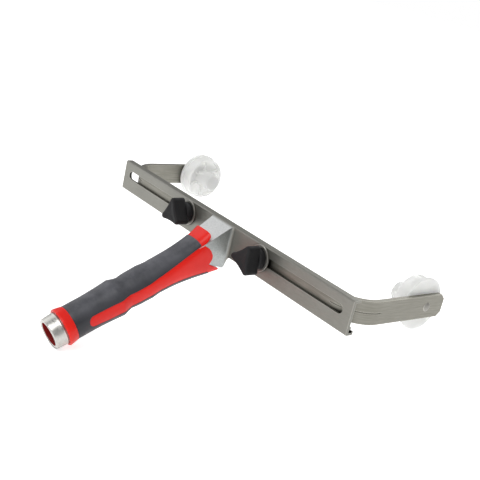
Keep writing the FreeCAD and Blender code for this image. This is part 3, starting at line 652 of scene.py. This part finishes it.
def build_knob(side, material):
    """Three-lobed knob with a closed, slightly dished front and a blind back that holds the insert."""
    phase = KNOB_TURNS[side]
    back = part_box(f"{side}_knob")[1].y
    stud_low, stud_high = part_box(f"{side}_stud")
    middle = (stud_low + stud_high) / 2
    bm = bmesh.new()

    def ring_at(height, radius_at):
        ring = []
        for i in range(KNOB_AROUND):
            turn = 2 * math.pi * i / KNOB_AROUND
            radius = radius_at(turn) * MM
            x = middle.x + radius * math.cos(turn)
            z = middle.z + radius * math.sin(turn)
            ring.append(bm.verts.new((x, back - height * MM, z)))
        return ring

    rings = [ring_at(KNOB_BORE_DEPTH, lambda turn: KNOB_BORE), ring_at(0.0, lambda turn: KNOB_BORE)]
    for height, kind, shrink in knob_rows():
        if kind == "head":
            rings.append(ring_at(height, lambda turn, s=shrink: lobe_radius(turn - phase, s)))
        else:
            rings.append(ring_at(height, lambda turn, s=shrink: KNOB_SKIRT - s))
    for share, dip in ((0.8, 0.05), (0.6, 0.3), (0.35, 0.45), (0.12, 0.5)):
        rings.append(ring_at(KNOB_DEPTH - dip, lambda turn, w=share: w * lobe_radius(turn - phase, 1.3)))
    for low, high in zip(rings, rings[1:]):
        join_rings(bm, low, high)
    bm.faces.new(rings[-1])
    bm.faces.new(rings[0])
    finish_mesh(f"{side}_lobed_knob", bm, material, f"{side}_knob_body",
                [f"{side}_knob"], smooth=40)


# Materials.

# Sockets of a Mix node that belong to its colours, by place, because their names repeat.
MIX_FACTOR = 0
MIX_FIRST = 6
MIX_SECOND = 7
MIX_RESULT = 2

WEAR_AND_HIGHLIGHT_REACH = 0.8
CREVICE_REACH = 6.0
NECK_FADE = (2.2, 0.4)  # how far in front of the bar's face the cast tone is full, and ends
BAR_DEPTH = 7.0


def new_material(name):
    material = bpy.data.materials.new(name)
    material.use_nodes = True
    tree = material.node_tree
    shader = tree.nodes["Principled BSDF"]
    return material, tree, shader


def set_inputs(node, **values):
    for name, value in values.items():
        node.inputs[name.replace("_", " ")].default_value = value


def object_coordinates(tree, scale):
    """Object-space coordinates in metres, stretched per axis."""
    place = tree.nodes.new("ShaderNodeTexCoord")
    mapping = tree.nodes.new("ShaderNodeMapping")
    mapping.inputs["Scale"].default_value = scale
    tree.links.new(place.outputs["Object"], mapping.inputs["Vector"])
    return mapping.outputs["Vector"]


def noise(tree, scale, detail=4.0, stretch=(1, 1, 1), roughness=0.5):
    texture = tree.nodes.new("ShaderNodeTexNoise")
    set_inputs(texture, Scale=scale, Detail=detail, Roughness=roughness)
    tree.links.new(object_coordinates(tree, stretch), texture.inputs["Vector"])
    return texture.outputs["Fac"]


def ramp(tree, source, low, high, start=0.0, finish=1.0):
    """Maps a source from start..finish onto low..high."""
    node = tree.nodes.new("ShaderNodeMapRange")
    set_inputs(node, From_Min=start, From_Max=finish, To_Min=low, To_Max=high)
    tree.links.new(source, node.inputs["Value"])
    return node.outputs["Result"]


def mix_colour(tree, factor, first, second):
    node = tree.nodes.new("ShaderNodeMix")
    node.data_type = "RGBA"
    for socket, value in ((MIX_FIRST, first), (MIX_SECOND, second)):
        if isinstance(value, tuple):
            node.inputs[socket].default_value = (*value, 1)
        else:
            tree.links.new(value, node.inputs[socket])
    tree.links.new(factor, node.inputs[MIX_FACTOR])
    return node.outputs[MIX_RESULT]


def speckle(tree, source, first, second):
    """A colour between two, by the middle part of a noise's range."""
    return mix_colour(tree, ramp(tree, source, 0.0, 1.0, 0.3, 0.7), first, second)


def bump(tree, shader, height, strength, distance):
    node = tree.nodes.new("ShaderNodeBump")
    set_inputs(node, Strength=strength, Distance=distance)
    tree.links.new(height, node.inputs["Height"])
    previous = shader.inputs["Normal"].links
    if previous:
        tree.links.new(previous[0].from_socket, node.inputs["Normal"])
    tree.links.new(node.outputs["Normal"], shader.inputs["Normal"])


def edge_wear_and_highlight(tree):
    """Rises along edges, where a rounded normal leans away from the true one. It marks edges for wear and for
    a painted highlight.
    """
    rounded = tree.nodes.new("ShaderNodeBevel")
    rounded.inputs["Radius"].default_value = WEAR_AND_HIGHLIGHT_REACH * MM
    geometry = tree.nodes.new("ShaderNodeNewGeometry")
    lean = tree.nodes.new("ShaderNodeVectorMath")
    lean.operation = "DOT_PRODUCT"
    tree.links.new(rounded.outputs["Normal"], lean.inputs[0])
    tree.links.new(geometry.outputs["Normal"], lean.inputs[1])
    return ramp(tree, lean.outputs["Value"], 0.9, 0.0, 0.92, 0.998)


def upward(tree, start, finish):
    """Rises from 0 to 1 as a surface turns to face up."""
    geometry = tree.nodes.new("ShaderNodeNewGeometry")
    split = tree.nodes.new("ShaderNodeSeparateXYZ")
    tree.links.new(geometry.outputs["Normal"], split.inputs["Vector"])
    return ramp(tree, split.outputs["Z"], 0.0, 1.0, start, finish)


def brushed_metal(name, colour, bright, roughness, stretch, strength=0.25):
    """Metal with fine lines along one way, patches of tone, bright edges that are partly wear and partly
    painted highlight, and painted shade in its crevices.
    """
    material, tree, shader = new_material(name)
    lines = noise(tree, 1.0, 3.0, stretch, 0.6)
    patches = noise(tree, 30.0, 3.0)
    dull = tuple(0.8 * c for c in colour)
    wear_and_highlight = tuple(1.5 * c for c in bright)
    crevice_shade = tuple(0.25 * c for c in colour)
    crevice = tree.nodes.new("ShaderNodeAmbientOcclusion")
    crevice.inputs["Distance"].default_value = CREVICE_REACH * MM
    tone = speckle(tree, lines, colour, bright)
    tone = mix_colour(tree, ramp(tree, patches, 0.0, 0.35, 0.35, 0.7), tone, dull)
    # Bright edges: partly wear, partly a painted highlight along every sharp edge.
    tone = mix_colour(tree, edge_wear_and_highlight(tree), tone, wear_and_highlight)
    # Painted shade: ambient occlusion darkens crevices and recesses towards a dark copy of the colour.
    tone = mix_colour(tree, ramp(tree, crevice.outputs["AO"], 0.9, 0.0, 0.3, 0.93), tone, crevice_shade)
    tree.links.new(tone, shader.inputs["Base Color"])
    rough = ramp(tree, lines, roughness - 0.07, roughness + 0.1, 0.3, 0.7)
    tree.links.new(rough, shader.inputs["Roughness"])
    set_inputs(shader, Metallic=1.0)
    bump(tree, shader, lines, strength, 0.00002)
    return material


def bar_metal():
    """Linished bar with a brighter, finely grained casting at the neck, with painted shade that makes the
    casting's sides greyer than its top.
    """
    material = brushed_metal("cast_bar", (0.25, 0.247, 0.222), (0.315, 0.31, 0.282), 0.46, (250, 1500, 1500))
    tree = material.node_tree
    shader = tree.nodes["Principled BSDF"]
    position = tree.nodes.new("ShaderNodeNewGeometry")
    split = tree.nodes.new("ShaderNodeSeparateXYZ")
    tree.links.new(position.outputs["Position"], split.inputs["Vector"])
    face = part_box("head")[1].y - BAR_DEPTH * MM
    full, end = NECK_FADE
    neck = ramp(tree, split.outputs["Y"], 1.0, 0.0, face - full * MM, face - end * MM)
    bar = shader.inputs["Base Color"].links[0].from_socket
    grain = noise(tree, 900.0, 4.0)
    top = speckle(tree, grain, (0.62, 0.63, 0.63), (0.74, 0.75, 0.75))
    side = speckle(tree, grain, (0.38, 0.40, 0.395), (0.50, 0.52, 0.515))
    # Painted shade: faces that turn away from up get the darker side tone.
    cast_with_painted_shade = mix_colour(tree, upward(tree, 0.3, 0.7), side, top)
    tree.links.new(mix_colour(tree, neck, bar, cast_with_painted_shade), shader.inputs["Base Color"])
    return material


def moulded_plastic(name, colour, shade, roughness, grain, depth, coat=0.0):
    """Moulded plastic: slight tone drift, faint grain and scuffs."""
    material, tree, shader = new_material(name)
    drift = noise(tree, 25.0, 3.0)
    fine = noise(tree, grain, 2.0)
    scuff = noise(tree, 60.0, 6.0, (1, 4, 1), 0.7)
    tone = mix_colour(tree, ramp(tree, drift, 0.0, 1.0, 0.35, 0.65), colour, shade)
    tree.links.new(tone, shader.inputs["Base Color"])
    rough = ramp(tree, scuff, roughness - 0.05, roughness + 0.1, 0.4, 0.7)
    tree.links.new(rough, shader.inputs["Roughness"])
    set_inputs(shader, Coat_Weight=coat, Coat_Roughness=0.15, Specular_IOR_Level=0.3)
    bump(tree, shader, fine, 0.35, depth)
    return material


def grip_with_painted_sheen():
    """Dark soft plastic, paler in patches where it faces up: partly rubbed wear, partly painted sheen."""
    material = moulded_plastic("grip_black", (0.028, 0.029, 0.034), (0.045, 0.046, 0.053), 0.4,
                               1400.0, 0.00004)
    tree = material.node_tree
    shader = tree.nodes["Principled BSDF"]
    base = shader.inputs["Base Color"].links[0].from_socket
    patches = ramp(tree, noise(tree, 55.0, 5.0, (1, 1, 1), 0.65), 0.25, 1.0, 0.36, 0.62)
    rubbed_and_sheen = tree.nodes.new("ShaderNodeMath")
    rubbed_and_sheen.operation = "MULTIPLY"
    tree.links.new(patches, rubbed_and_sheen.inputs[0])
    tree.links.new(upward(tree, 0.35, 0.95), rubbed_and_sheen.inputs[1])
    # Painted sheen: upward faces get a paler tone, broken into patches.
    tone = mix_colour(tree, rubbed_and_sheen.outputs["Value"], base, (0.125, 0.127, 0.143))
    tree.links.new(tone, shader.inputs["Base Color"])
    return material


def knurled_plastic():
    """Near-black plastic with a pricked, leathery grain."""
    material = moulded_plastic("knob_black", (0.006, 0.006, 0.007), (0.011, 0.011, 0.012), 0.6,
                               1500.0, 0.00008)
    tree = material.node_tree
    shader = tree.nodes["Principled BSDF"]
    cells = tree.nodes.new("ShaderNodeTexVoronoi")
    set_inputs(cells, Scale=1100.0)
    tree.links.new(object_coordinates(tree, (1, 1, 1)), cells.inputs["Vector"])
    bump(tree, shader, cells.outputs["Distance"], 0.5, 0.00012)
    return material


def milky_nylon():
    """Natural nylon: white, waxy and letting some light through, with a faint painted glow."""
    material, tree, shader = new_material("milky_nylon")
    cloud = noise(tree, 70.0, 3.0)
    tone = speckle(tree, cloud, (0.90, 0.91, 0.89), (0.94, 0.945, 0.93))
    tree.links.new(tone, shader.inputs["Base Color"])
    tree.links.new(ramp(tree, cloud, 0.3, 0.42, 0.3, 0.7), shader.inputs["Roughness"])
    # The small emission is a painted glow that makes the hubs brighter.
    set_inputs(shader, Subsurface_Weight=0.7, Subsurface_Scale=0.009, Transmission_Weight=0.4, IOR=1.4,
               Emission_Strength=0.06)
    shader.inputs["Subsurface Radius"].default_value = (1.0, 1.0, 0.95)
    shader.inputs["Emission Color"].default_value = (1.0, 1.0, 0.97, 1)
    bump(tree, shader, noise(tree, 500.0, 2.0), 0.1, 0.00003)
    return material


def plated_metal():
    """Bright plating with faint lines across the handle."""
    return brushed_metal("plated_cap", (0.48, 0.48, 0.45), (0.66, 0.65, 0.62), 0.34, (40, 500, 500), 0.2)


# Stage.

WHITE = (1.0, 1.0, 1.0, 1)
FLOOR_HALF_SIZE = 6.0
FLOOR_GAP = 0.5 * MM
FLOOR_LIGHT = 0.5
FLOOR_SEEN = 0.7
WORLD_LIGHT = 0.36
WORLD_SEEN = 1.0
MIDDLE = (0, 0.14, 0.05)


def build_floor():
    """Pale floor. It lights the object as a half-bright sheet, and is seen a little brighter."""
    mesh = bpy.data.meshes.new("floor")
    bm = bmesh.new()
    bmesh.ops.create_grid(bm, x_segments=2, y_segments=2, size=FLOOR_HALF_SIZE)
    bm.to_mesh(mesh)
    bm.free()
    floor = bpy.data.objects.new("floor", mesh)
    floor.location.z = CAD_BOX[0][2] - FLOOR_GAP
    bpy.context.scene.collection.objects.link(floor)
    material, tree, shader = new_material("pale_floor")
    set_inputs(shader, Roughness=0.9)
    seen_by = tree.nodes.new("ShaderNodeLightPath")
    glow = tree.nodes.new("ShaderNodeMapRange")
    glow.inputs["To Min"].default_value = FLOOR_LIGHT
    glow.inputs["To Max"].default_value = FLOOR_SEEN
    tree.links.new(seen_by.outputs["Is Camera Ray"], glow.inputs["Value"])
    tree.links.new(glow.outputs["Result"], shader.inputs["Emission Strength"])
    shader.inputs["Base Color"].default_value = (0.93, 0.93, 0.93, 1)
    shader.inputs["Emission Color"].default_value = WHITE
    mesh.materials.append(material)


def build_world():
    """Soft white surroundings, seen brighter than they light."""
    world = bpy.data.worlds.new("studio")
    bpy.context.scene.world = world
    world.use_nodes = True
    tree = world.node_tree
    lighting = tree.nodes["Background"]
    lighting.inputs["Color"].default_value = WHITE
    lighting.inputs["Strength"].default_value = WORLD_LIGHT
    seen = tree.nodes.new("ShaderNodeBackground")
    seen.inputs["Color"].default_value = WHITE
    seen.inputs["Strength"].default_value = WORLD_SEEN
    path = tree.nodes.new("ShaderNodeLightPath")
    choose = tree.nodes.new("ShaderNodeMixShader")
    tree.links.new(path.outputs["Is Camera Ray"], choose.inputs["Fac"])
    tree.links.new(lighting.outputs["Background"], choose.inputs[1])
    tree.links.new(seen.outputs["Background"], choose.inputs[2])
    tree.links.new(choose.outputs["Shader"], tree.nodes["World Output"].inputs["Surface"])


def add_light(name, place, size, power):
    """A square soft light that faces the object's middle."""
    light = bpy.data.lights.new(name, "AREA")
    light.shape = "SQUARE"
    light.size = size
    light.energy = power
    lamp = bpy.data.objects.new(name, light)
    lamp.location = place
    lamp.rotation_euler = (Vector(MIDDLE) - Vector(place)).to_track_quat("-Z", "Y").to_euler()
    bpy.context.scene.collection.objects.link(lamp)


def build_camera():
    """The photograph's viewpoint: from the user's right, a little above, and slightly rolled."""
    azimuth = math.radians(47.92)
    elevation = math.radians(18.44)
    roll = math.radians(13.05)
    distance = 0.72
    target = Vector((0.0105, 0.154, 0.0729))
    away = Vector((math.sin(azimuth) * math.cos(elevation), -math.cos(azimuth) * math.cos(elevation),
                   math.sin(elevation)))
    level = Vector((math.cos(azimuth), math.sin(azimuth), 0))
    upright = away.cross(level)
    right = level * math.cos(roll) + upright * math.sin(roll)
    up = upright * math.cos(roll) - level * math.sin(roll)
    camera_data = bpy.data.cameras.new("camera")
    camera_data.sensor_width = 36.0
    camera_data.lens = 66.7
    camera = bpy.data.objects.new("camera", camera_data)
    turn = Matrix((right, up, away)).transposed().to_4x4()
    camera.matrix_world = Matrix.Translation(target + away * distance) @ turn
    bpy.context.scene.collection.objects.link(camera)
    bpy.context.scene.camera = camera


# Assembly.


def dress_side(side, strip, zinc, rivet, nylon):
    """The arm and the small parts of one side, in their CAD shape with the edges rounded."""
    rounded_copy(f"{side}_arm", f"{side}_bent_arm", strip, f"{side}_arm_body", 0.45, 400)
    soften_node(f"{side}_stud", zinc, 0.15)
    soften_node(f"{side}_clamp_washer", rivet, 0.2)
    soften_node(f"{side}_knob_insert", zinc, 0.15)
    soften_node(f"{side}_hub_axle", rivet, 0.12)
    soften_node(f"{side}_thrust_washer", zinc, 0.1)
    soften_node(f"{side}_hub_clip", zinc, 0.1)
    soften_node(f"{side}_hub", nylon, 0.3)
    soften_node(f"{side}_hub_cap", nylon, 0.25)


red = moulded_plastic("red_plastic", (0.83, 0.014, 0.006), (0.72, 0.010, 0.005), 0.38, 700.0, 0.00003, 0.05)
socket_red = moulded_plastic("socket_red", (0.30, 0.012, 0.01), (0.22, 0.01, 0.008), 0.45, 700.0, 0.00003)
rubber = grip_with_painted_sheen()
casting = bar_metal()
strip = brushed_metal("strip_steel", (0.235, 0.228, 0.195), (0.36, 0.35, 0.31), 0.42, (60, 60, 1100))
zinc = brushed_metal("zinc_steel", (0.55, 0.56, 0.57), (0.7, 0.71, 0.72), 0.35, (80, 80, 80), 0.1)
rivet = brushed_metal("rivet_steel", (0.26, 0.25, 0.23), (0.42, 0.41, 0.38), 0.5, (80, 80, 80), 0.1)
plated = plated_metal()
nylon = milky_nylon()
knob_black = knurled_plastic()

covered, shown = build_strips()
build_sleeve(covered, rubber)
build_core(covered, shown, red)
build_collar(red)
build_socket(socket_red)
build_ferrule(plated)
for side in SIDES:
    build_knob(side, knob_black)
rounded_copy("head", "bar_casting", casting, "frame", 0.35, 25)
for side in SIDES:
    dress_side(side, strip, zinc, rivet, nylon)

build_floor()
build_world()
add_light("key", (0.5, -0.9, 1.3), 1.0, 13)
add_light("fill", (-1.2, -0.4, 0.8), 1.2, 5)
add_light("rim", (-0.3, 1.3, 1.1), 1.0, 8)
build_camera()
bpy.context.scene.view_settings.view_transform = "Standard"
